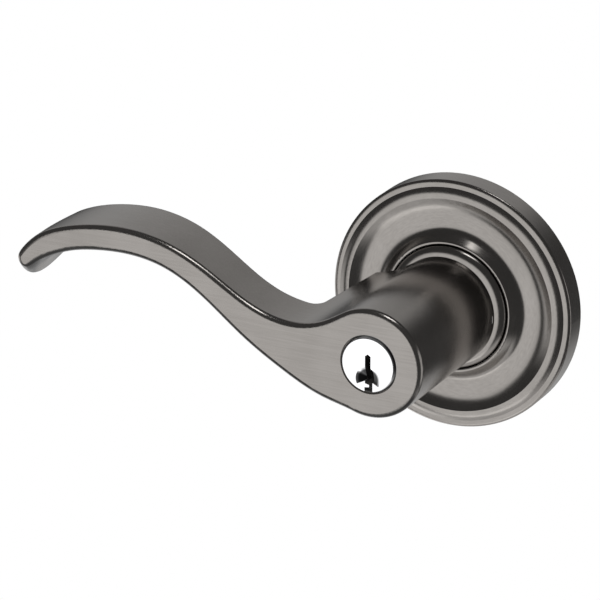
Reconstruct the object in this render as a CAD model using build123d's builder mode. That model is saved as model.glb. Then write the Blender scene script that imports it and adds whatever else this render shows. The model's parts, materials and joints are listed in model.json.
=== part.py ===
"""Outside half of a keyed lever handle lockset.

Millimetres, +Z up. The spindle's axis is the Y axis, +Y goes into the door, and the
origin is the centre of the rose on the door's face. A "depth" below is a distance out
from the door's face, so a depth d lies at Y = -d, and a negative depth is inside the
door. Plane.XZ.offset(d) is the plane at that depth, facing out of the door.
"""

from build123d import *
from math import cos, degrees, pi, radians, sin
import os

os.makedirs("parts", exist_ok=True)

# ---- driving dimensions -------------------------------------------------------------
ROSE_R = 34.925            # 2 3/4 in rose
ROSE_EDGE = 6.4            # height of the rose's straight side wall
ROSE_WALL = 1.2
LIP_R = 18.45              # raised lip around the rose's middle
LIP_DEPTH = 9.2
HUB_R = 14.9               # lever hub
FRONT = 56.8               # depth of the lever's flat front face
BASE = 11.4                # depth of the hub's base
SHANK_BASE = 12.3          # depth of the shank's base, beside the hub
PLUG_R = 6.35              # half-inch plug
PLUG_HEAD_R = 7.4
BOLT_SPACING = 38.1        # through-bolts, 1 1/2 in apart
SPINDLE_R = 4.7
SPINDLE_END = -40.0
SPINDLE_STEP = -15.0       # the spindle's free end starts here
SPINDLE_END_R = 4.5
SLEEVE_R = 9.8             # drive sleeve that the lever slides on to
RUN = 0.06                 # radial running clearance
GAP = 0.3                  # clearance between pieces that don't touch
SLIP = 0.05                # clearance of pieces that slide together on the bench
PIN_COUNT = 5
PIN_PITCH = 3.81
PIN_R = 1.45


def finish(part, name):
    """Name one piece and write it to its own file."""
    part.label = name
    export_step(part, f"parts/{name}.step")


def revolve_piece(points):
    """Ring or disc about the Y axis, from (radius, depth) corners of its section."""
    with BuildPart(mode=Mode.PRIVATE) as ring:
        with BuildSketch(Plane.XY):
            with BuildLine():
                Polyline([(r, -d) for r, d in points], close=True)
            make_face()
        revolve(axis=Axis.Y)
    return ring.part


def tube(r_in, r_out, near, far):
    """Tube about the Y axis between two depths."""
    return revolve_piece([(r_in, near), (r_out, near), (r_out, far), (r_in, far)])


# ---- rose ---------------------------------------------------------------------------
# Outside line from the door to the lip, as (radius, depth): side wall, flat rim, a convex
# quarter round up to the crest, a hollow that falls steeply from it to the dish, then the
# sweep up to the lip.
RIM_TOP = (34.2, 7.05)
RIM_INNER = (33.0, 7.1)
ROUND = (31.7, 7.75)
CREST = (30.0, 8.0)
HOLLOW = (28.2, 7.0)
DISH_OUTER = (26.3, 6.35)
DISH = (24.5, 6.15)
DISH_RISE = (20.5, 6.75)
STEEP = (-0.85, 0.5)       # slope of the quarter round's foot, and of the hollow at the crest
LIP_HALF = 0.4             # half the lip's rounded width
LIP_ROUND = 0.15           # height of its rounding
LIP_HOLE_R = LIP_R - 2 * LIP_HALF
LIP_SHOULDER = LIP_DEPTH - LIP_ROUND
LIP_DROP = 5.2             # depth at which the lip's inner wall ends
LIP_LAND = 0.8             # height of the lip's wall behind that end
BACK_DEPTH = DISH[1] - ROSE_WALL
BACK_RISE = (20.5, BACK_DEPTH + 0.4)       # inside the rose, on its way up to the lip
RIM_BACK = RIM_INNER[1] - ROSE_WALL


def below(point):
    """A (radius, depth) point in the X, Y plane, where depth runs down."""
    return (point[0], -point[1])


with BuildPart() as rose:
    with BuildSketch(Plane.XY):
        with BuildLine():
            Line((ROSE_R, 0), (ROSE_R, -ROSE_EDGE))
            Spline(
                (ROSE_R, -ROSE_EDGE),
                below(RIM_TOP),
                below(RIM_INNER),
                tangents=[(0, -1), (-1, 0)],
                tangent_scalars=(1, 1),
            )
            Spline(
                below(RIM_INNER),
                below(ROUND),
                below(CREST),
                tangents=[below(STEEP), (-1, 0)],
                tangent_scalars=(1, 1),
            )
            Spline(
                below(CREST),
                below(HOLLOW),
                below(DISH_OUTER),
                below(DISH),
                below(DISH_RISE),
                (LIP_R, -LIP_SHOULDER),
                tangents=[STEEP, (-1, -1)],
                tangent_scalars=(1, 1),
            )
            ThreePointArc(
                (LIP_R, -LIP_SHOULDER),
                (LIP_R - LIP_HALF, -LIP_DEPTH),
                (LIP_HOLE_R, -LIP_SHOULDER),
            )
            Polyline(
                (LIP_HOLE_R, -LIP_SHOULDER),
                (LIP_HOLE_R, -LIP_DROP),
                (LIP_HOLE_R + ROSE_WALL, -LIP_DROP),
                (LIP_HOLE_R + ROSE_WALL, -(LIP_DROP + LIP_LAND)),
                below(BACK_RISE),
                (DISH[0], -BACK_DEPTH),
                (DISH_OUTER[0], -BACK_DEPTH),
                (CREST[0], -RIM_BACK),
                (ROSE_R - ROSE_WALL, -RIM_BACK),
                (ROSE_R - ROSE_WALL, 0),
                (ROSE_R, 0),
            )
        make_face()
    revolve(axis=Axis.Y)
finish(rose.part, "rose")

# ---- mounting plate, which the rose snaps on to -------------------------------------
PLATE_THICK = 1.5
PLATE_R = ROSE_R - ROSE_WALL - 0.15     # a push fit inside the rose's rim
PLATE_RIM = 3.6            # height of the plate's turned-up rim
PLATE_HOLE_R = 12.2
SNAP_SLOT_AT = 26.0        # slots that free the rose's snaps
SNAP_SLOT = (7.0, 3.0)
POST_R = 3.6
POST_TENON_R = 2.6
POST_BORE_R = 1.9          # tapped for a number 10 through-bolt
POST_LENGTH = 18.0
POST_FLOOR = 2.0           # the posts' bores stop this short of their tenons
CAGE_SCREW_AT = 18.6       # from the axis
CAGE_SCREW_ANGLE = 30      # degrees up from the line of the through-bolts
CAGE_SCREW_R = 1.5

with BuildPart() as mounting_plate:
    with BuildSketch(Plane.XZ):
        Circle(PLATE_R)
        Circle(PLATE_HOLE_R, mode=Mode.SUBTRACT)
        with Locations((-BOLT_SPACING / 2, 0), (BOLT_SPACING / 2, 0)):
            Circle(POST_TENON_R, mode=Mode.SUBTRACT)
        with PolarLocations(CAGE_SCREW_AT, 2, CAGE_SCREW_ANGLE):
            Circle(CAGE_SCREW_R, mode=Mode.SUBTRACT)
        with PolarLocations(SNAP_SLOT_AT, 4, start_angle=45):
            SlotOverall(*SNAP_SLOT, rotation=90, mode=Mode.SUBTRACT)
    extrude(amount=PLATE_THICK)
    with BuildSketch(Plane.XZ.offset(PLATE_THICK)):
        Circle(PLATE_R)
        Circle(PLATE_R - PLATE_THICK, mode=Mode.SUBTRACT)
    extrude(amount=PLATE_RIM - PLATE_THICK)
finish(mounting_plate.part, "mounting_plate")

# ---- through-bolt posts, two alike ---------------------------------------------------
with BuildPart() as through_bolt_posts:
    for x in (-BOLT_SPACING / 2, BOLT_SPACING / 2):
        with BuildSketch(Plane.XZ.offset(-POST_LENGTH)):
            with Locations((x, 0)):
                Circle(POST_R)
        extrude(amount=POST_LENGTH)
        with BuildSketch(Plane.XZ):
            with Locations((x, 0)):
                Circle(POST_TENON_R)
        extrude(amount=PLATE_THICK)
        with BuildSketch(Plane.XZ.offset(-POST_LENGTH)):
            with Locations((x, 0)):
                Circle(POST_BORE_R)
        extrude(amount=POST_LENGTH - POST_FLOOR, mode=Mode.SUBTRACT)
finish(through_bolt_posts.part, "through_bolt_posts")

# ---- bearing collar around the hub's neck, and its nylon bushing ---------------------
COLLAR_R = 17.35           # outside of the rounded bead beside the hub
COLLAR_TOP = 10.6
COLLAR_WALL = 1.4
BUSHING_R = 11.4
BUSHING_FLANGE_R = 13.8
BUSHING_FLANGE_TOP = BASE - 0.2
BEAD_START_R = 14.4        # the bead rounds over from here to the collar's side
BEAD_DROP = 2.4
BEAD_POINTS = [(16.0, COLLAR_TOP - 0.3), (17.0, COLLAR_TOP - 1.1)]

with BuildPart() as bearing_collar:
    with BuildSketch(Plane.XY):
        with BuildLine():
            Polyline(
                (COLLAR_R, -(COLLAR_TOP - BEAD_DROP)),
                (COLLAR_R, -PLATE_THICK),
                (COLLAR_R - COLLAR_WALL, -PLATE_THICK),
                (COLLAR_R - COLLAR_WALL, -(COLLAR_TOP - BEAD_DROP)),
                (BUSHING_R + COLLAR_WALL, -(COLLAR_TOP - BEAD_DROP)),
                (BUSHING_R + COLLAR_WALL, -PLATE_THICK),
                (BUSHING_R, -PLATE_THICK),
                (BUSHING_R, -COLLAR_TOP),
                (BEAD_START_R, -COLLAR_TOP),
            )
            Spline(
                (BEAD_START_R, -COLLAR_TOP),
                *[below(point) for point in BEAD_POINTS],
                (COLLAR_R, -(COLLAR_TOP - BEAD_DROP)),
                tangents=[(1, 0), (0, 1)],
                tangent_scalars=(1, 1),
            )
        make_face()
    revolve(axis=Axis.Y)
finish(bearing_collar.part, "bearing_collar")

bushing = revolve_piece([
    (SLEEVE_R + RUN, PLATE_THICK),
    (BUSHING_R, PLATE_THICK),
    (BUSHING_R, COLLAR_TOP),
    (BUSHING_FLANGE_R, COLLAR_TOP),
    (BUSHING_FLANGE_R, BUSHING_FLANGE_TOP),
    (SLEEVE_R + RUN, BUSHING_FLANGE_TOP),
])
finish(bushing, "hub_bushing")

# ---- spring cage behind the plate, inside the door's cross bore ----------------------
CAGE_R_IN = 13.4
CAGE_WALL = 1.1
CAGE_DEPTH = 9.6           # how far the cage reaches into the door
CAGE_EAR_R = 3.6
CAGE_EAR_THICK = 1.4
CAGE_SCREW_HOLE_R = CAGE_SCREW_R + 0.1
WINDOW_HALF_ANGLE = 65     # opening above the axis for the spring's legs, degrees
WINDOW_R_IN = CAGE_R_IN - 0.4
STOP_HALF = 1.0            # half the width of the stop in the middle of the opening
window_top = 2 * CAGE_R_IN
window_x = window_top * sin(radians(WINDOW_HALF_ANGLE))
window_z = window_top * cos(radians(WINDOW_HALF_ANGLE))

with BuildPart() as spring_cage:
    with BuildSketch(Plane.XZ.offset(-CAGE_DEPTH)):
        Circle(CAGE_R_IN + CAGE_WALL)
    extrude(amount=CAGE_DEPTH)
    with BuildSketch(Plane.XZ.offset(-CAGE_EAR_THICK)):
        SlotOverall(2 * (CAGE_SCREW_AT + CAGE_EAR_R), 2 * CAGE_EAR_R, rotation=CAGE_SCREW_ANGLE)
    extrude(amount=CAGE_EAR_THICK)
    with BuildSketch(Plane.XZ.offset(-CAGE_DEPTH + CAGE_WALL)):
        Circle(CAGE_R_IN)
    extrude(amount=CAGE_DEPTH - CAGE_WALL, mode=Mode.SUBTRACT)
    with BuildSketch(Plane.XZ.offset(-CAGE_DEPTH)):
        Circle(SLEEVE_R + RUN)
        with PolarLocations(CAGE_SCREW_AT, 2, CAGE_SCREW_ANGLE):
            Circle(CAGE_SCREW_HOLE_R)
    extrude(amount=CAGE_DEPTH, mode=Mode.SUBTRACT)
    with BuildSketch(Plane.XZ.offset(-CAGE_DEPTH + CAGE_WALL)):
        Polygon(
            (0, 0),
            (window_x, window_z),
            (window_x, window_top),
            (-window_x, window_top),
            (-window_x, window_z),
            align=None,
        )
        Circle(WINDOW_R_IN, mode=Mode.SUBTRACT)
        with Locations((0, CAGE_R_IN)):
            Rectangle(2 * STOP_HALF, 4 * CAGE_WALL, mode=Mode.SUBTRACT)
    extrude(amount=CAGE_DEPTH - CAGE_WALL - CAGE_EAR_THICK, mode=Mode.SUBTRACT)
finish(spring_cage.part, "spring_cage")

SCREW_HEAD_R = 2.7
SCREW_HEAD_THICK = 1.5
CROSS_LENGTH = 3.4         # cross slot in the screw's head
CROSS_WIDTH = 0.7
CROSS_DEPTH = 0.8

with BuildPart() as cage_screws:
    for angle in (CAGE_SCREW_ANGLE, CAGE_SCREW_ANGLE + 180):
        centre = (CAGE_SCREW_AT * cos(radians(angle)), CAGE_SCREW_AT * sin(radians(angle)))
        with BuildSketch(Plane.XZ.offset(-CAGE_EAR_THICK)):
            with Locations(centre):
                Circle(CAGE_SCREW_R)
        extrude(amount=CAGE_EAR_THICK + PLATE_THICK)
        with BuildSketch(Plane.XZ.offset(-CAGE_EAR_THICK - SCREW_HEAD_THICK)):
            with Locations(centre):
                Circle(SCREW_HEAD_R)
        extrude(amount=SCREW_HEAD_THICK)
        with BuildSketch(Plane.XZ.offset(-CAGE_EAR_THICK - SCREW_HEAD_THICK)):
            with Locations(centre):
                Rectangle(CROSS_LENGTH, CROSS_WIDTH)
                Rectangle(CROSS_WIDTH, CROSS_LENGTH)
        extrude(amount=CROSS_DEPTH, mode=Mode.SUBTRACT)
finish(cage_screws.part, "cage_screws")

# ---- return spring: torsion coil around the sleeve, its two legs astride the stops -----
WIRE_R = 0.7
COIL_R = 11.7
COIL_PITCH = 1.42
COIL_FRONT = -2.15         # depth of the first turn, just behind the plate
LEG_X = STOP_HALF + WIRE_R + SLIP
LEG_TOP = 16.4
LEG_Z = (COIL_R ** 2 - LEG_X ** 2) ** 0.5
LEG_ANGLE = Vector(0, 1, 0).get_angle(Vector(LEG_X, LEG_Z, 0))
COIL_TURNS = 4 - 2 * LEG_ANGLE / 360

coil_path = Plane(
    origin=(0, -COIL_FRONT, 0), x_dir=(LEG_X, 0, LEG_Z), z_dir=(0, 1, 0)
) * Helix(COIL_PITCH, COIL_PITCH * COIL_TURNS, COIL_R)
with BuildPart() as return_spring:
    with BuildSketch(Plane(coil_path @ 0, z_dir=coil_path % 0)):
        Circle(WIRE_R)
    sweep(path=coil_path, is_frenet=True)
    for end in (coil_path @ 0, coil_path @ 1):
        with Locations(end):
            Sphere(WIRE_R)
        with BuildSketch(Plane(end)):
            Circle(WIRE_R)
        extrude(amount=LEG_TOP - LEG_Z)
finish(return_spring.part, "return_spring")

# ---- drive sleeve: turns in the bushing and carries the lever ------------------------
SLEEVE_R_IN = 8.9
SLEEVE_FRONT = 24.6
SLEEVE_WEB = 3.0           # end wall that grips the spindle
SLEEVE_BACK = -14.2
KEY_HALF = 1.5             # half the width of the sleeve's drive key
KEY_START = BASE + 1.0
KEY_R = 10.7
CATCH_DEPTH = 12.9
CATCH_R = 1.45
RING_DEPTH = -12.2         # groove for the retaining ring
RING_THICK = 1.0
RING_GROOVE_R = 9.1
SPINDLE_FLAT = -4.2        # height of the flat on the spindle


def spindle_section(extra=0.0):
    """Round spindle section with one flat, in the current sketch."""
    Circle(SPINDLE_R + extra)
    with Locations((0, SPINDLE_FLAT - extra)):
        Rectangle(4 * SPINDLE_R, 2 * SPINDLE_R, align=(Align.CENTER, Align.MAX), mode=Mode.SUBTRACT)


with BuildPart() as drive_sleeve:
    with BuildSketch(Plane.XZ.offset(SLEEVE_BACK)):
        Circle(SLEEVE_R)
    extrude(amount=SLEEVE_FRONT - SLEEVE_BACK)
    with BuildSketch(Plane.XZ.offset(KEY_START)):
        with Locations((0, -SLEEVE_R)):
            Rectangle(2 * KEY_HALF, 2 * (KEY_R - SLEEVE_R))
    extrude(amount=SLEEVE_FRONT - KEY_START)
    with BuildSketch(Plane.XZ.offset(SLEEVE_BACK)):
        Circle(SLEEVE_R_IN)
    extrude(amount=SLEEVE_FRONT - SLEEVE_WEB - SLEEVE_BACK, mode=Mode.SUBTRACT)
    with BuildSketch(Plane.XZ.offset(SLEEVE_BACK)):
        spindle_section()
    extrude(amount=SLEEVE_FRONT - SLEEVE_BACK, mode=Mode.SUBTRACT)
    with BuildSketch(Plane.YZ):
        with Locations((-CATCH_DEPTH, 0)):
            Circle(CATCH_R + RUN)
    extrude(amount=SLEEVE_R + 1, mode=Mode.SUBTRACT)
    with BuildSketch(Plane.XZ.offset(RING_DEPTH)):
        Circle(SLEEVE_R + 1)
        Circle(RING_GROOVE_R, mode=Mode.SUBTRACT)
    extrude(amount=-RING_THICK, mode=Mode.SUBTRACT)
finish(drive_sleeve.part, "drive_sleeve")

# ---- spindle: tube with a flat that works the latch ----------------------------------
SPINDLE_R_IN = 3.5

with BuildPart() as spindle:
    with BuildSketch(Plane.XZ.offset(SPINDLE_STEP)):
        spindle_section()
    extrude(amount=SLEEVE_FRONT - SPINDLE_STEP)
    with BuildSketch(Plane.XZ.offset(SPINDLE_END)):
        spindle_section(SPINDLE_END_R - SPINDLE_R)
    extrude(amount=SPINDLE_STEP - SPINDLE_END)
    with BuildSketch(Plane.XZ.offset(SPINDLE_END)):
        Circle(SPINDLE_R_IN)
    extrude(amount=SLEEVE_FRONT - SPINDLE_END, mode=Mode.SUBTRACT)
finish(spindle.part, "spindle")

# ---- spring cam, washer and retaining ring on the sleeve's back end ------------------
CAM_DEPTH = -CAGE_DEPTH - GAP
CAM_THICK = 1.4
CAM_R = 13.0
CAM_TAB_IN = 15.0          # tab that reaches forward outside the cage, between the legs
CAM_TAB_OUT = 16.4
CAM_TAB_FRONT = -1.8

with BuildPart() as spring_cam:
    with BuildSketch(Plane.XZ.offset(CAM_DEPTH - CAM_THICK)):
        Circle(CAM_R)
        with Locations((0, CAM_TAB_OUT / 2)):
            Rectangle(2 * STOP_HALF, CAM_TAB_OUT)
        Circle(SLEEVE_R, mode=Mode.SUBTRACT)
    extrude(amount=CAM_THICK)
    with BuildSketch(Plane.XZ.offset(CAM_DEPTH)):
        with Locations((0, (CAM_TAB_IN + CAM_TAB_OUT) / 2)):
            Rectangle(2 * STOP_HALF, CAM_TAB_OUT - CAM_TAB_IN)
    extrude(amount=CAM_TAB_FRONT - CAM_DEPTH)
finish(spring_cam.part, "spring_cam")

RING_OUT_R = 11.8
RING_SIDE_GAP = 0.05       # on each side of the ring in its groove
WASHER_R = 12.4
RING_GAP = 4.9             # width left open in the retaining ring

with BuildPart() as retaining_ring:
    with BuildSketch(Plane.XZ.offset(RING_DEPTH - RING_THICK + RING_SIDE_GAP)):
        Circle(RING_OUT_R)
        Circle(RING_GROOVE_R, mode=Mode.SUBTRACT)
        with Locations((0, -RING_OUT_R)):
            Rectangle(RING_GAP, RING_OUT_R, mode=Mode.SUBTRACT)
    extrude(amount=RING_THICK - 2 * RING_SIDE_GAP)
finish(retaining_ring.part, "retaining_ring")

cam_washer = tube(SLEEVE_R, WASHER_R, RING_DEPTH + RING_SIDE_GAP, CAM_DEPTH - CAM_THICK - RING_SIDE_GAP)
finish(cam_washer, "cam_washer")

# ---- lever --------------------------------------------------------------------------
OPENING_R = 7.95           # hole in the hub's front for the key cylinder
OPENING_EDGE = 0.15
FRONT_WALL = 2.0
CYLINDER_R = 9.2
BIBLE_TOP = 13.0           # top of the pin chambers, above the axis
BIBLE_HALF = 3.6
RELEASE_WALL_X = 12.7      # the hub's wall outside the catch hole starts here
RELEASE_SLOT = (1.0, 2.0)

# the lever's upper and lower lines in front view, between the hub and the tip
TOP_LINE = [
    (-14.2, 9.15), (-22.5, 7.5), (-34.2, 10.2), (-46.0, 16.9), (-58.5, 22.9), (-72.0, 25.3), (-84.0, 24.5),
]
LOWER_LINE = [
    (-74.0, 18.2), (-60.9, 16.3), (-49.1, 10.0), (-37.3, 1.0), (-25.5, -6.3), (-13.8, -11.7),
]
TOP_START = 120            # where the upper line leaves the hub's circle, degrees
LOWER_END = 252            # where the lower line meets it

# The tip is narrow in its flat front and fuller behind: the stretch between those lines
# at three depths, over the tip and back underneath.
FRONT_TIP = [
    (-92.5, 22.4), (-98.6, 19.6), (-102.8, 15.9), (-104.7, 12.2), (-103.2, 10.2), (-100.0, 11.8),
    (-96.2, 14.0), (-90.4, 16.1), (-82.0, 17.7),
]
MIDDLE_TIP = [
    (-92.5, 22.5), (-99.0, 19.6), (-104.3, 15.0), (-107.2, 9.4), (-104.6, 5.4), (-101.0, 7.9),
    (-97.0, 11.8), (-91.0, 15.4), (-82.5, 17.5),
]
REAR_TIP = [
    (-92.5, 22.4), (-98.8, 19.3), (-104.3, 14.6), (-107.3, 10.4), (-105.0, 7.2), (-101.0, 9.7),
    (-97.0, 12.8), (-91.0, 15.7), (-82.5, 17.6),
]
SECTIONS = [(FRONT, FRONT_TIP), (48.5, MIDDLE_TIP), (35.0, REAR_TIP), (SHANK_BASE, REAR_TIP)]

# rear line of the lever in plan, as (X, depth): rounded end, blade, inside corner, shank wall
END_R = 13.0
BLADE_BACK = [(-96.0, 36.3), (-83.2, 36.3), (-70.9, 37.0), (-56.5, 38.9), (-43.0, 40.8), (-34.0, 40.9)]
CORNER_X = -22.3
CORNER_R = 3.0
CORNER_BACK = 40.5
SHANK_BACK_X = -20.2
FRONT_EDGE = 1.5           # edge roundings
REAR_EDGE = 1.0
PLAN_X = 25.0              # the plan's outline passes clear of the hub here
PLAN_HALF_HEIGHT = 30.0


def hub_point(angle):
    """Point of the hub's circle in the X, Z plane, and the circle's direction there."""
    a = radians(angle)
    return (HUB_R * cos(a), HUB_R * sin(a)), (-sin(a), cos(a))


top_point, top_direction = hub_point(TOP_START)
lower_point, lower_direction = hub_point(LOWER_END)
blade_end = BLADE_BACK[0]

with BuildPart() as lever:
    # front view, drawn from the hub over the top to the tip and back underneath
    for depth, tip in SECTIONS:
        with BuildSketch(Plane.XZ.offset(depth)):
            with BuildLine():
                ThreePointArc(lower_point, (HUB_R, 0), top_point)
                Spline(
                    top_point, *TOP_LINE, *tip, *LOWER_LINE, lower_point,
                    tangents=[top_direction, lower_direction],
                    tangent_scalars=(1, 1),
                )
            make_face()
    loft()
    # plan view: keep what lies inside it
    with BuildSketch(Plane.XY.offset(-PLAN_HALF_HEIGHT)):
        with BuildLine():
            Polyline(
                (SHANK_BACK_X, -SHANK_BASE),
                (PLAN_X, -SHANK_BASE),
                (PLAN_X, -FRONT - 1),
                (blade_end[0] - END_R, -FRONT - 1),
                (blade_end[0] - END_R, -blade_end[1] - END_R),
            )
            CenterArc((blade_end[0], -blade_end[1] - END_R), END_R, 180, -90)
            Spline(
                *[(x, -d) for x, d in BLADE_BACK],
                (CORNER_X - CORNER_R, -CORNER_BACK),
                tangents=[(1, 0), (1, 0)],
                tangent_scalars=(1, 1),
            )
            TangentArc(
                (CORNER_X - CORNER_R, -CORNER_BACK),
                (CORNER_X, -CORNER_BACK + CORNER_R),
                tangent=(1, 0),
            )
            Line((CORNER_X, -CORNER_BACK + CORNER_R), (SHANK_BACK_X, -SHANK_BASE))
        make_face()
    extrude(amount=2 * PLAN_HALF_HEIGHT, mode=Mode.INTERSECT)
    curved = lever.edges().filter_by(GeomType.LINE, reverse=True)
    fillet(curved.filter_by(lambda edge: abs(edge.center().Y + FRONT) < 0.01), FRONT_EDGE)
    rear_faces = lever.faces().filter_by(
        lambda face: face.normal_at().Y > 0.3 and face.center().Y < -SHANK_BASE - 1
    )
    fillet(rear_faces.edges().filter_by(GeomType.LINE, reverse=True), REAR_EDGE)
    with BuildSketch(Plane.XZ.offset(BASE)):
        Circle(HUB_R)
    extrude(amount=SHANK_BASE - BASE)
    # sleeve bore with its keyway, then the cylinder's pocket, then the front opening
    with BuildSketch(Plane.XZ.offset(BASE)):
        Circle(SLEEVE_R + SLIP)
        with Locations((0, -SLEEVE_R)):
            Rectangle(2 * (KEY_HALF + SLIP), 2 * (KEY_R + SLIP - SLEEVE_R))
    extrude(amount=SLEEVE_FRONT + GAP - BASE, mode=Mode.SUBTRACT)
    with BuildSketch(Plane.XZ.offset(BASE)):
        Circle(CYLINDER_R + SLIP)
        Rectangle(2 * (BIBLE_HALF + SLIP), BIBLE_TOP + SLIP, align=(Align.CENTER, Align.MIN))
    extrude(amount=FRONT - FRONT_WALL - BASE, mode=Mode.SUBTRACT)
    with BuildSketch(Plane.XZ.offset(BASE)):
        Circle(OPENING_R)
    extrude(amount=FRONT - BASE, mode=Mode.SUBTRACT)
    chamfer(
        lever.edges().filter_by(GeomType.CIRCLE).filter_by(
            lambda edge: abs(edge.radius - OPENING_R) < 0.01 and edge.center().Y < -FRONT + 0.1
        ),
        OPENING_EDGE,
    )
    # catch hole, and the slot that a release pin goes through
    with BuildSketch(Plane.YZ):
        with Locations((-CATCH_DEPTH, 0)):
            Circle(CATCH_R + SLIP)
    extrude(amount=RELEASE_WALL_X, mode=Mode.SUBTRACT)
    with BuildSketch(Plane.YZ):
        with Locations((-CATCH_DEPTH, 0)):
            Rectangle(*RELEASE_SLOT)
    extrude(amount=HUB_R + 1, mode=Mode.SUBTRACT)
finish(lever.part, "lever")

# ---- lever catch and its spring, inside the sleeve ------------------------------------
CATCH_HEAD_R = 2.3
CATCH_HEAD_THICK = 0.8
CATCH_HEAD_X = 8.0
CATCH_END_X = 12.0
CATCH_EDGE = 0.3

with BuildPart() as lever_catch:
    with BuildSketch(Plane.YZ.offset(CATCH_HEAD_X - CATCH_HEAD_THICK)):
        with Locations((-CATCH_DEPTH, 0)):
            Circle(CATCH_HEAD_R)
    extrude(amount=CATCH_HEAD_THICK)
    with BuildSketch(Plane.YZ.offset(CATCH_HEAD_X)):
        with Locations((-CATCH_DEPTH, 0)):
            Circle(CATCH_R)
    extrude(amount=CATCH_END_X - CATCH_HEAD_X)
    chamfer(lever_catch.edges().filter_by(GeomType.CIRCLE).sort_by(Axis.X)[-1], CATCH_EDGE)
finish(lever_catch.part, "lever_catch")

BAND_R = 7.85
BAND_THICK = 0.45
BAND_OFFSET = -0.75        # the band is eccentric, so that its back bears on the sleeve
BAND_WIDTH = 3.0
BAND_GAP = 3.0

with BuildPart() as catch_spring:
    with BuildSketch(Plane.XZ.offset(CATCH_DEPTH - BAND_WIDTH / 2)):
        with Locations((BAND_OFFSET, 0)):
            Circle(BAND_R)
            Circle(BAND_R - BAND_THICK, mode=Mode.SUBTRACT)
        with Locations((-BAND_R, 0)):
            Rectangle(BAND_R, BAND_GAP, mode=Mode.SUBTRACT)
    extrude(amount=BAND_WIDTH)
finish(catch_spring.part, "catch_spring")

# ---- key cylinder -------------------------------------------------------------------
CYLINDER_FRONT = FRONT - FRONT_WALL - 0.1
CYLINDER_BACK = 27.8
NOSE_R = OPENING_R - RUN   # ring around the plug's head, sunk in the lever's opening
NOSE_FRONT = FRONT - 0.9
NOSE_EDGE = 0.1
HEAD_BACK = FRONT - 1.9    # plug's head, from its shoulder to its face
HEAD_FRONT = FRONT + 0.4
HEAD_EDGE = 0.2
CHAMBER_R = PIN_R + 0.05
FIRST_PIN = 6.3            # from the lever's front to the first pin
DRIVER_LOW = 6.42          # driver pins' lower ends, just above the shear line
DRIVER_LENGTH = 2.7
CHAMBER_COVER_THICK = 0.7
CHAMBER_COVER_HALF = 2.2
CHAMBER_COVER_FRONT = CYLINDER_FRONT - 1.5
CHAMBER_COVER_SLIP = 0.02
SPRING_TOP = BIBLE_TOP - CHAMBER_COVER_THICK - 0.05
pin_depths = [FRONT - FIRST_PIN - PIN_PITCH * i for i in range(PIN_COUNT)]

with BuildPart() as cylinder_housing:
    with BuildSketch(Plane.XZ.offset(CYLINDER_BACK)):
        Circle(CYLINDER_R)
        Rectangle(2 * BIBLE_HALF, BIBLE_TOP, align=(Align.CENTER, Align.MIN))
    extrude(amount=CYLINDER_FRONT - CYLINDER_BACK)
    with BuildSketch(Plane.XZ.offset(CYLINDER_FRONT)):
        Circle(NOSE_R)
    extrude(amount=NOSE_FRONT - CYLINDER_FRONT)
    chamfer(cylinder_housing.edges().filter_by(GeomType.CIRCLE).sort_by(Axis.Y)[0], NOSE_EDGE)
    with BuildSketch(Plane.XZ.offset(CYLINDER_BACK)):
        Circle(PLUG_R + RUN)
    extrude(amount=NOSE_FRONT - CYLINDER_BACK, mode=Mode.SUBTRACT)
    with BuildSketch(Plane.XZ.offset(HEAD_BACK)):
        Circle(PLUG_HEAD_R + RUN)
    extrude(amount=NOSE_FRONT - HEAD_BACK, mode=Mode.SUBTRACT)
    with BuildSketch(Plane.XY):
        with Locations([(0, -d) for d in pin_depths]):
            Circle(CHAMBER_R)
    extrude(amount=BIBLE_TOP, mode=Mode.SUBTRACT)
    with BuildSketch(Plane.XZ.offset(CYLINDER_BACK)):
        with Locations((0, BIBLE_TOP)):
            Rectangle(2 * CHAMBER_COVER_HALF, 2 * CHAMBER_COVER_THICK)
    extrude(amount=CHAMBER_COVER_FRONT - CYLINDER_BACK, mode=Mode.SUBTRACT)
finish(cylinder_housing.part, "cylinder_housing")

with BuildPart() as chamber_cover:
    with BuildSketch(Plane.XZ.offset(CYLINDER_BACK + SLIP)):
        with Locations((0, BIBLE_TOP - CHAMBER_COVER_THICK)):
            Rectangle(
                2 * (CHAMBER_COVER_HALF - CHAMBER_COVER_SLIP),
                CHAMBER_COVER_THICK,
                align=(Align.CENTER, Align.MIN),
            )
    extrude(amount=CHAMBER_COVER_FRONT - CYLINDER_BACK - 2 * SLIP)
finish(chamber_cover.part, "chamber_cover")

# plug: head with its scoop, barrel, keyway, pin chambers, clip groove, blade slot
PLUG_BACK = 25.2
CLIP_BACK = 26.6
CLIP_THICK = 0.9
CLIP_GROOVE_R = 5.3
BLADE_SLOT_FRONT = 27.4
BLADE_HALF = 0.75
BLADE_WIDTH = 6.0
BLADE_HEAD_WIDTH = 9.0
BLADE_TAIL = 1.5           # how far the blade passes the spindle's end
CHAMBER_FLOOR = -2.2
SCOOP_R = 3.45             # conical scoop in the plug's face that leads the key in
SCOOP_Z = -4.0
SCOOP_END = radians(27)    # how far it goes on round below its middle
SCOOP_DEPTH = 1.6
# keyway, from the left of its pointed top clockwise: wider to the right below, open
# underneath, with one ward on the left
KEYWAY = [
    (-0.8, 2.4), (0, 3.0), (0.8, 2.4), (0.8, -0.9), (1.4, -1.5), (1.4, -8.5), (-0.9, -8.5),
    (-0.9, -6.2), (0.4, -6.0), (0.4, -5.4), (-0.8, -5.1),
]
scoop_start = Plane(
    origin=(0, 0, SCOOP_Z),
    x_dir=(cos(SCOOP_END), 0, -sin(SCOOP_END)),
    z_dir=(sin(SCOOP_END), 0, cos(SCOOP_END)),
)

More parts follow.
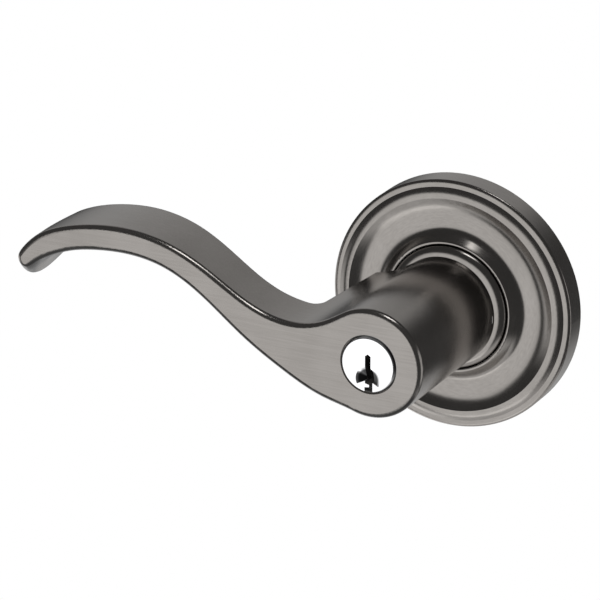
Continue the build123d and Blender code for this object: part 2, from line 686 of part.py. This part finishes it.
with BuildPart() as plug:
    with BuildSketch(Plane.XZ.offset(PLUG_BACK)):
        Circle(PLUG_R)
    extrude(amount=HEAD_FRONT - PLUG_BACK)
    with BuildSketch(Plane.XZ.offset(HEAD_BACK + RUN)):
        Circle(PLUG_HEAD_R)
    extrude(amount=HEAD_FRONT - HEAD_BACK - RUN)
    chamfer(plug.edges().filter_by(GeomType.CIRCLE).sort_by(Axis.Y)[0], HEAD_EDGE)
    with BuildSketch(Plane.XZ.offset(CLIP_BACK)):
        Circle(PLUG_R + 1)
        Circle(CLIP_GROOVE_R, mode=Mode.SUBTRACT)
    extrude(amount=CLIP_THICK + 2 * SLIP, mode=Mode.SUBTRACT)
    with BuildSketch(scoop_start):
        with BuildLine():
            Polyline(
                (0, -HEAD_FRONT),
                (SCOOP_R, -HEAD_FRONT),
                (0, -(HEAD_FRONT - SCOOP_DEPTH)),
                close=True,
            )
        make_face()
    revolve(
        axis=Axis((0, 0, SCOOP_Z), (0, -1, 0)),
        revolution_arc=degrees(pi + 2 * SCOOP_END),
        mode=Mode.SUBTRACT,
    )
    with BuildSketch(Plane.XZ.offset(BLADE_SLOT_FRONT)):
        with BuildLine():
            Polyline(*KEYWAY, close=True)
        make_face()
    extrude(amount=HEAD_FRONT - BLADE_SLOT_FRONT, mode=Mode.SUBTRACT)
    with BuildSketch(Plane.XY.offset(CHAMBER_FLOOR)):
        with Locations([(0, -d) for d in pin_depths]):
            Circle(CHAMBER_R)
    extrude(amount=PLUG_R + 1 - CHAMBER_FLOOR, mode=Mode.SUBTRACT)
    with BuildSketch(Plane.XZ.offset(PLUG_BACK)):
        Rectangle(BLADE_HEAD_WIDTH + 4 * SLIP, 2 * (BLADE_HALF + SLIP))
    extrude(amount=BLADE_SLOT_FRONT - PLUG_BACK, mode=Mode.SUBTRACT)
finish(plug.part, "plug")

CLIP_R = PLUG_R + 1.1
CLIP_GAP = (5.0, 6.0)

with BuildPart() as plug_clip:
    with BuildSketch(Plane.XZ.offset(CLIP_BACK + SLIP)):
        Circle(CLIP_R)
        Circle(CLIP_GROOVE_R, mode=Mode.SUBTRACT)
        with Locations((0, -PLUG_R)):
            Rectangle(*CLIP_GAP, mode=Mode.SUBTRACT)
    extrude(amount=CLIP_THICK)
finish(plug_clip.part, "plug_clip")

with BuildPart() as tailpiece:
    with BuildSketch(Plane.XZ.offset(PLUG_BACK + SLIP)):
        Rectangle(BLADE_HEAD_WIDTH, 2 * BLADE_HALF)
    extrude(amount=BLADE_SLOT_FRONT - PLUG_BACK - 2 * SLIP)
    with BuildSketch(Plane.XZ.offset(SPINDLE_END - BLADE_TAIL)):
        Rectangle(BLADE_WIDTH, 2 * BLADE_HALF)
    extrude(amount=PLUG_BACK + SLIP - SPINDLE_END + BLADE_TAIL)
finish(tailpiece.part, "tailpiece")

# ---- pins and their springs, standing as the right key would hold them ----------------
PIN_TOP = 6.12             # bottom pins' upper ends, just under the shear line
PIN_LENGTHS = [4.4, 6.2, 5.3, 7.0, 4.9]
PIN_POINT = 0.8            # bevel of the bottom pins' lower ends
DRIVER_EDGE = 0.3

for i, (depth, length) in enumerate(zip(pin_depths, PIN_LENGTHS), start=1):
    with BuildPart() as bottom_pin:
        with BuildSketch(Plane.XY.offset(PIN_TOP - length)):
            with Locations((0, -depth)):
                Circle(PIN_R)
        extrude(amount=length)
        chamfer(bottom_pin.edges().filter_by(GeomType.CIRCLE).sort_by(Axis.Z)[0], PIN_POINT)
    finish(bottom_pin.part, f"bottom_pin_{i}")

    with BuildPart() as driver_pin:
        with BuildSketch(Plane.XY.offset(DRIVER_LOW)):
            with Locations((0, -depth)):
                Circle(PIN_R)
        extrude(amount=DRIVER_LENGTH)
        chamfer(driver_pin.edges().filter_by(GeomType.CIRCLE).sort_by(Axis.Z)[-1], DRIVER_EDGE)
    finish(driver_pin.part, f"driver_pin_{i}")

PIN_WIRE_R = 0.16
PIN_COIL_R = 1.15
PIN_COIL_TURNS = 4
PIN_COIL_SEAT = 0.02       # between the springs and the driver pins
PIN_COIL_LOW = DRIVER_LOW + DRIVER_LENGTH + PIN_WIRE_R + PIN_COIL_SEAT
PIN_COIL_HEIGHT = SPRING_TOP - PIN_WIRE_R - PIN_COIL_LOW

springs = []
for depth in pin_depths:
    coil = Pos(0, -depth, PIN_COIL_LOW) * Helix(
        PIN_COIL_HEIGHT / PIN_COIL_TURNS, PIN_COIL_HEIGHT, PIN_COIL_R
    )
    with BuildPart() as pin_spring:
        with BuildSketch(Plane(coil @ 0, z_dir=coil % 0)):
            Circle(PIN_WIRE_R)
        sweep(path=coil, is_frenet=True)
    springs.append(pin_spring.part.solid())
finish(Compound(children=springs), "pin_springs")
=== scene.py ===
import json
from math import cos, pi, radians, sin

import bpy
from mathutils import Matrix, Vector

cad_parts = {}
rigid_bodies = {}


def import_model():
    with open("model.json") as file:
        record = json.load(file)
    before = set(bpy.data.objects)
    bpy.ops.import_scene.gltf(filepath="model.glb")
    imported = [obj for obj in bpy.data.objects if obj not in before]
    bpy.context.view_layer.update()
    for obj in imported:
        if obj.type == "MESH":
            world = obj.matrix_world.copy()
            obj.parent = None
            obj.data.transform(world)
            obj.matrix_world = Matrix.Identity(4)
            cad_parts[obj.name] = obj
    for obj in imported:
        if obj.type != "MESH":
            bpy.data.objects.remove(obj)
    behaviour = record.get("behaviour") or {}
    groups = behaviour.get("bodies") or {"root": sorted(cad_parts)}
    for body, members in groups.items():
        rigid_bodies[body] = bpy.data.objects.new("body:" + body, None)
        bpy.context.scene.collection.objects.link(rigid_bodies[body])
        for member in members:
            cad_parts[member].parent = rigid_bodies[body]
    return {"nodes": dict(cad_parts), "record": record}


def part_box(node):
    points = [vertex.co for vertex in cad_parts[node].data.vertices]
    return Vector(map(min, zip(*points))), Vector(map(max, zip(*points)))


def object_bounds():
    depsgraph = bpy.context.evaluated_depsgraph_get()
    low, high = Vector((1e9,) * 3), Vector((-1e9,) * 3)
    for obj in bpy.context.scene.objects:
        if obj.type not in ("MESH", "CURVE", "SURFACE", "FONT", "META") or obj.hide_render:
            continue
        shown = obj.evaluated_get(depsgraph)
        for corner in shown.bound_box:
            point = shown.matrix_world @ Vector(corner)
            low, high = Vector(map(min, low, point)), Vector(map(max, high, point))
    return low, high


for leftover in list(bpy.data.objects):
    bpy.data.objects.remove(leftover)

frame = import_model()
nodes = frame["nodes"]
cad_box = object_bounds()

# ---- driving values, in metres -----------------------------------------------------
CAMERA_AZIMUTH = 27.19      # degrees round from straight in front, towards +X
CAMERA_ELEVATION = 20.42
CAMERA_DISTANCE = 1.0239
CAMERA_LENS = 227.8         # on a sensor this many mm wide:
CAMERA_SENSOR = 36
CAMERA_REACH = 50
AIM_LEFT = 0.04354          # the view's centre lies this far left of the rose's centre
AIM_DOWN = 0.00095
FLOOR_DROP = 0.06           # the floor lies this far under the object
FLOOR_HALF = 4.0
WHITE = (1, 1, 1, 1)


def camera_axes():
    """Right, up and back directions of the camera."""
    azimuth = radians(CAMERA_AZIMUTH)
    elevation = radians(CAMERA_ELEVATION)
    right = Vector((cos(azimuth), sin(azimuth), 0))
    back = Vector((sin(azimuth) * cos(elevation), -cos(azimuth) * cos(elevation), sin(elevation)))
    return right, back.cross(right), back


def add_camera():
    right, up, back = camera_axes()
    place = back * CAMERA_DISTANCE - right * AIM_LEFT - up * AIM_DOWN
    data = bpy.data.cameras.new("camera")
    data.lens = CAMERA_LENS
    data.sensor_width = CAMERA_SENSOR
    data.clip_end = CAMERA_REACH
    camera = bpy.data.objects.new("camera", data)
    camera.matrix_world = Matrix.Translation(place) @ Matrix((right, up, back)).transposed().to_4x4()
    bpy.context.scene.collection.objects.link(camera)
    bpy.context.scene.camera = camera


# ---- node helpers ------------------------------------------------------------------


class Graph:
    """Short calls for building a node tree."""

    def __init__(self, tree):
        self.tree = tree
        tree.nodes.clear()

    def node(self, kind, **settings):
        made = self.tree.nodes.new(kind)
        for key, value in settings.items():
            setattr(made, key, value)
        return made

    def link(self, source, target):
        self.tree.links.new(source, target)

    def put(self, value, target):
        """A number, colour or vector is set on the socket; another socket is linked."""
        if isinstance(value, bpy.types.NodeSocket):
            self.link(value, target)
        elif value is not None:
            target.default_value = value

    def fill(self, made, values):
        """Gives the node's first inputs these values, in order, and returns its first output."""
        for value, target in zip(values, made.inputs):
            self.put(value, target)
        return made.outputs[0]

    def math(self, operation, a, b=None, c=None):
        return self.fill(self.node("ShaderNodeMath", operation=operation), (a, b, c))

    def ramp(self, value, low, high, out_low=0.0, out_high=1.0):
        """Smooth step from one level to another."""
        made = self.node("ShaderNodeMapRange", interpolation_type="SMOOTHSTEP")
        return self.fill(made, (value, low, high, out_low, out_high))

    def split(self, vector):
        made = self.node("ShaderNodeSeparateXYZ")
        self.link(vector, made.inputs[0])
        return made.outputs

    def join(self, x, y, z):
        return self.fill(self.node("ShaderNodeCombineXYZ"), (x, y, z))

    def noise(self, vector, scale, detail=2.0, roughness=0.5):
        made = self.node("ShaderNodeTexNoise")
        self.put(vector, made.inputs["Vector"])
        made.inputs["Scale"].default_value = scale
        made.inputs["Detail"].default_value = detail
        made.inputs["Roughness"].default_value = roughness
        return made.outputs[0]

    def mix(self, factor, first, second):
        """Blend of two colours, which have inputs of their own on this node."""
        made = self.node("ShaderNodeMix", data_type="RGBA")
        self.put(factor, made.inputs[0])
        self.put(first, made.inputs[6])
        self.put(second, made.inputs[7])
        return made.outputs[2]

    def mix_shaders(self, factor, first, second):
        return self.fill(self.node("ShaderNodeMixShader"), (factor, first, second))

    def bump(self, height, distance, strength):
        made = self.node("ShaderNodeBump")
        made.inputs["Strength"].default_value = strength
        made.inputs["Distance"].default_value = distance
        self.link(height, made.inputs["Height"])
        return made.outputs[0]


# ---- studio: soft boxes all round, and a plain white floor -----------------------------
# azimuth (from straight in front, towards +X), elevation, half width, half height,
# softness of the edge, all in degrees, then strength
SOFT_BOXES = [
    (-16, -24, 25, 34, 6, 1.15),     # large box in front, under the camera
    (50, 80, 50, 9, 4, 4.0),         # strip overhead, to the right
    (-30, -90, 180, 42, 8, 0.75),    # pale floor
    (-160, 22, 36, 20, 12, 0.45),    # behind, upper left
    (-165, -42, 36, 18, 10, 0.45),   # behind, below
    (-100, -38, 38, 26, 9, 0.9),     # left, low
    (112, -14, 22, 24, 8, 0.7),      # right: lights the back
]
ROOM_LEVEL = 0.08


def background(graph, strength):
    made = graph.node("ShaderNodeBackground")
    made.inputs["Color"].default_value = WHITE
    graph.put(strength, made.inputs["Strength"])
    return made.outputs[0]


def soft_box(graph, azimuth, elevation, across, up, half_width, half_height, soft, strength):
    """Brightness that one box adds in a direction."""
    turn = graph.math("WRAP", graph.math("SUBTRACT", azimuth, radians(across)), pi, -pi)
    rise = graph.math("SUBTRACT", elevation, radians(up))
    level = strength
    for offset, half in ((turn, half_width), (rise, half_height)):
        away = graph.math("ABSOLUTE", offset)
        inside = graph.ramp(away, radians(half - soft), radians(half + soft), 1.0, 0.0)
        level = graph.math("MULTIPLY", inside, level)
    return level


def studio_world():
    """The boxes are seen in reflections; the camera itself sees plain white."""
    world = bpy.data.worlds.new("studio")
    bpy.context.scene.world = world
    world.use_nodes = True
    graph = Graph(world.node_tree)
    x, y, z = graph.split(graph.node("ShaderNodeTexCoord").outputs["Generated"])
    azimuth = graph.math("ARCTAN2", x, graph.math("MULTIPLY", y, -1.0))
    elevation = graph.math("ARCSINE", z)
    level = ROOM_LEVEL
    for box in SOFT_BOXES:
        level = graph.math("ADD", soft_box(graph, azimuth, elevation, *box), level)
    seen = graph.node("ShaderNodeLightPath").outputs["Is Camera Ray"]
    light = graph.mix_shaders(seen, background(graph, level), background(graph, 1.0))
    graph.link(light, graph.node("ShaderNodeOutputWorld").inputs[0])


def add_floor():
    """White floor that only the camera sees, and only from above."""
    height = cad_box[0][2] - FLOOR_DROP
    half = FLOOR_HALF
    corners = [(-half, -half, height), (half, -half, height), (half, half, height), (-half, half, height)]
    mesh = bpy.data.meshes.new("floor")
    mesh.from_pydata(corners, [], [(0, 1, 2, 3)])
    floor = bpy.data.objects.new("floor", mesh)
    bpy.context.scene.collection.objects.link(floor)
    for ray in ("diffuse", "glossy", "transmission", "shadow"):
        setattr(floor, f"visible_{ray}", False)
    material = bpy.data.materials.new("floor")
    material.use_nodes = True
    graph = Graph(material.node_tree)
    pale = graph.node("ShaderNodeEmission")
    pale.inputs["Color"].default_value = WHITE
    clear = graph.node("ShaderNodeBsdfTransparent")
    under = graph.node("ShaderNodeNewGeometry").outputs["Backfacing"]
    surface = graph.mix_shaders(under, pale.outputs[0], clear.outputs[0])
    graph.link(surface, graph.node("ShaderNodeOutputMaterial").inputs[0])
    mesh.materials.append(material)


add_camera()
studio_world()
add_floor()
bpy.context.scene.view_settings.view_transform = "Standard"

# ---- masks and coordinates for the materials ---------------------------------------
GRAIN_TURN = 0.006          # metres of grain coordinate per radian round the axis
UNDER_EDGE_SHADE_RANGE = (0.08, 0.26)   # how far an edge faces forwards and down before painted shade darkens it
HUB_SKIN = (0.0002, 0.00005)             # where painted shade inside the hub starts: the hub's own surface, in from its radius
HUB_FRONT = (0.002, 0.003)               # and its front wall, back from its face


def place_of(graph):
    """Position on the piece, in metres, in the CAD frame."""
    return graph.node("ShaderNodeTexCoord").outputs["Object"]


def from_axis(graph, x, z):
    """Distance from the spindle's axis."""
    return graph.math("SQRT", graph.math("ADD", graph.math("MULTIPLY", x, x), graph.math("MULTIPLY", z, z)))


def turned(graph, place):
    """Coordinates that run round the spindle's axis: grain along them is circular."""
    x, y, z = graph.split(place)
    angle = graph.math("MULTIPLY", graph.math("ARCTAN2", z, x), GRAIN_TURN)
    return graph.join(from_axis(graph, x, z), angle, y)


def stretched(graph, place, scale):
    made = graph.node("ShaderNodeVectorMath", operation="MULTIPLY")
    return graph.fill(made, (place, scale))


def surface_normal(graph):
    """The surface's own direction on the piece, as x, y and z."""
    return graph.split(graph.node("ShaderNodeTexCoord").outputs["Normal"])


def rounding(graph):
    """1 half way round an edge between the front or back and a side, 0 on flat faces."""
    square = graph.math("POWER", surface_normal(graph)[1], 2.0)
    return graph.math("MULTIPLY", graph.math("MULTIPLY", square, graph.math("SUBTRACT", 1.0, square)), 4.0)


def painted_shade_under_edge(graph):
    """Mask for painted shade: 1 on roundings that face forwards and down, where the plate is darkest, else
    0.
    """
    x, y, z = surface_normal(graph)
    return graph.ramp(graph.math("MULTIPLY", y, z), *UNDER_EDGE_SHADE_RANGE)


def recess(graph, place, front, depth):
    """Mask for painted shade in a recess: 0 at the front plane, 1 from this depth behind it on."""
    return graph.ramp(graph.split(place)[1], front + 0.1 * depth, front + depth)


def painted_shade_inside_hub(graph, place):
    """Mask for painted shade: 1 on the walls inside the lever's hub, such as the release slot's, else 0."""
    lowest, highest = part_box("lever")
    hub_radius = highest[0]
    front = lowest[1]
    x, y, z = graph.split(place)
    radius = from_axis(graph, x, z)
    within = graph.ramp(radius, hub_radius - HUB_SKIN[0], hub_radius - HUB_SKIN[1], 1.0, 0.0)
    return graph.math("MULTIPLY", within, graph.ramp(y, front + HUB_FRONT[0], front + HUB_FRONT[1]))


# ---- materials ---------------------------------------------------------------------
GRAIN_DEPTH = 0.00001
GRAIN_STRENGTH = 0.15


def finished(name, build):
    """A material: build(graph, shader) fills the shader's sockets and returns its colour."""
    material = bpy.data.materials.new(name)
    material.use_nodes = True
    graph = Graph(material.node_tree)
    shader = graph.node("ShaderNodeBsdfPrincipled")
    graph.link(build(graph, shader), shader.inputs["Base Color"])
    graph.link(shader.outputs[0], graph.node("ShaderNodeOutputMaterial").inputs[0])
    return material


def grained_metal(graph, shader, colors, roughness, lines, clouds, depth=GRAIN_DEPTH):
    """Metal with a grain and cloudy colour and roughness."""
    tone = graph.math("MULTIPLY", graph.math("ADD", lines, clouds), 0.5)
    shader.inputs["Metallic"].default_value = 1.0
    spread = graph.math("MULTIPLY", graph.math("SUBTRACT", tone, 0.5), 0.5 * roughness)
    graph.link(graph.math("ADD", spread, roughness), shader.inputs["Roughness"])
    graph.link(graph.bump(lines, depth, GRAIN_STRENGTH), shader.inputs["Normal"])
    return graph.mix(graph.ramp(tone, 0.3, 0.7), (*colors[0], 1), (*colors[1], 1))


GRAPHITE = [(0.268, 0.252, 0.237), (0.318, 0.300, 0.284)]
GRAPHITE_ROUGHNESS = 0.2
# lighter roundings on the lever: rubbed wear and a painted highlight
GRAPHITE_WEAR_AND_HIGHLIGHT = (0.40, 0.38, 0.36, 1)
# near-black painted shade for the lever's lower edges and the inside of its hub
GRAPHITE_PAINTED_SHADE = (0.02, 0.02, 0.02, 1)


def brushed_graphite(graph, shader):
    """The lever: fine grain along it, roundings lightened as rubbed wear and a painted highlight, and
    painted shade on the lower edges and inside the hub.
    """
    place = place_of(graph)
    lines = graph.noise(stretched(graph, place, (0.03, 1, 1)), 2400.0, 3.0, 0.6)
    clouds = graph.noise(place, 70.0, 3.0)
    color = grained_metal(graph, shader, GRAPHITE, GRAPHITE_ROUGHNESS, lines, clouds)
    # lighter roundings: rubbed wear and a painted highlight
    color = graph.mix(graph.math("MULTIPLY", rounding(graph), 0.6), color, GRAPHITE_WEAR_AND_HIGHLIGHT)
    # painted shade on the roundings that face forwards and down
    color = graph.mix(graph.math("MULTIPLY", painted_shade_under_edge(graph), 0.95), color, GRAPHITE_PAINTED_SHADE)
    # painted shade on the walls inside the hub
    return graph.mix(painted_shade_inside_hub(graph, place), color, GRAPHITE_PAINTED_SHADE)


def spun_graphite(graph, shader):
    """The rose and the collar: fine circular grain."""
    place = place_of(graph)
    lines = graph.noise(turned(graph, place), 2400.0, 3.0, 0.6)
    clouds = graph.noise(place, 70.0, 3.0)
    return grained_metal(graph, shader, GRAPHITE, GRAPHITE_ROUGHNESS, lines, clouds)


CHROME = [(0.88, 0.88, 0.89), (0.94, 0.94, 0.95)]
SCRATCH_DEPTH = 0.000002
SCOOP_EDGE = 0.0004         # behind the plug's face its scoop is darkened by painted shade from here on
SCOOP_PAINTED_SHADE = (0.07, 0.07, 0.07, 1)
KEYWAY_DEPTH = 0.0022       # and the keyway is painted black as shade from here on
KEYWAY_PAINTED_SHADE = (0.004, 0.004, 0.004, 1)


def bright_chrome(graph, shader):
    """The plug: polished face with hair-fine scratches, a scoop darkened by painted shade and a keyway
    painted black as shade.
    """
    place = place_of(graph)
    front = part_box("plug")[0][1]
    lines = graph.noise(stretched(graph, place, (1, 1, 0.1)), 1500.0)
    color = grained_metal(graph, shader, CHROME, 0.06, lines, graph.noise(place, 300.0), SCRATCH_DEPTH)
    # painted shade: the scoop darkens, and the keyway deeper in turns black
    color = graph.mix(recess(graph, place, front, SCOOP_EDGE), color, SCOOP_PAINTED_SHADE)
    return graph.mix(recess(graph, place, front, KEYWAY_DEPTH), color, KEYWAY_PAINTED_SHADE)


OXIDE = [(0.018, 0.018, 0.018), (0.045, 0.044, 0.043)]


def black_oxide(graph, shader):
    """The cylinder's housing and the catch."""
    place = place_of(graph)
    lines = graph.noise(turned(graph, place), 1500.0)
    return grained_metal(graph, shader, OXIDE, 0.35, lines, graph.noise(place, 250.0))


ZINC = [(0.47, 0.48, 0.50), (0.70, 0.70, 0.69)]
ZINC_EDGE = (0.80, 0.80, 0.80, 1)


def zinc_plate(graph, shader):
    """Stamped steel: mottled zinc with lighter roundings and faint rolling marks."""
    place = place_of(graph)
    lines = graph.noise(stretched(graph, place, (1, 1, 0.1)), 1200.0)
    color = grained_metal(graph, shader, ZINC, 0.34, lines, graph.noise(place, 260.0, 4.0, 0.65))
    return graph.mix(graph.math("MULTIPLY", rounding(graph), 0.4), color, ZINC_EDGE)


SPRING = [(0.28, 0.28, 0.31), (0.50, 0.49, 0.48)]


def spring_steel(graph, shader):
    """Drawn wire, oiled: dark blue-grey patches."""
    place = place_of(graph)
    lines = graph.noise(turned(graph, place), 1800.0)
    return grained_metal(graph, shader, SPRING, 0.28, lines, graph.noise(place, 400.0, 3.0, 0.6))


BRASS = [(0.68, 0.50, 0.24), (0.84, 0.68, 0.38)]


def pin_brass(graph, shader):
    """The pins and the chambers' cover: turned brass."""
    place = place_of(graph)
    lines = graph.noise(stretched(graph, place, (0.1, 0.1, 1)), 3000.0)
    return grained_metal(graph, shader, BRASS, 0.24, lines, graph.noise(place, 350.0))


NYLON = [(0.72, 0.70, 0.62, 1), (0.84, 0.82, 0.76, 1)]


def natural_nylon(graph, shader):
    """The bushing: slightly mottled, with a fine moulded surface."""
    place = place_of(graph)
    cloud = graph.noise(place, 180.0, 3.0, 0.6)
    graph.link(graph.ramp(cloud, 0.3, 0.7, 0.42, 0.58), shader.inputs["Roughness"])
    graph.link(graph.bump(graph.noise(place, 2500.0), 0.00002, 0.3), shader.inputs["Normal"])
    return graph.mix(cloud, *NYLON)


MATERIALS = {
    "satin_graphite": finished("satin_graphite", spun_graphite),
    "graphite_collar": finished("graphite_collar", spun_graphite),
    "cylinder_chrome": finished("cylinder_chrome", bright_chrome),
    "housing_black": finished("housing_black", black_oxide),
    "nylon": finished("nylon", natural_nylon),
    "pin_brass": finished("pin_brass", pin_brass),
    "spring_steel": finished("spring_steel", spring_steel),
    "zinc_steel": finished("zinc_steel", zinc_plate),
}
# The catch gets the black finish as painted shade, so that the release slot reads as a dark hole.
OWN_FINISH = {
    "lever": finished("lever_graphite", brushed_graphite),
    "lever_catch": MATERIALS["housing_black"],
}

for part in frame["record"]["subparts"]:
    mesh = nodes[part["node"]].data
    mesh.materials.clear()
    mesh.materials.append(OWN_FINISH.get(part["node"], MATERIALS[part["material_slot"]]))

# Reflections show the studio and the fixed trim only. What turns with the lever doesn't
# appear in them, so that the rose stays clean as if the light had been screened.
for body, names in frame["record"]["behaviour"]["bodies"].items():
    for name in names:
        nodes[name].visible_glossy = body == "trim"
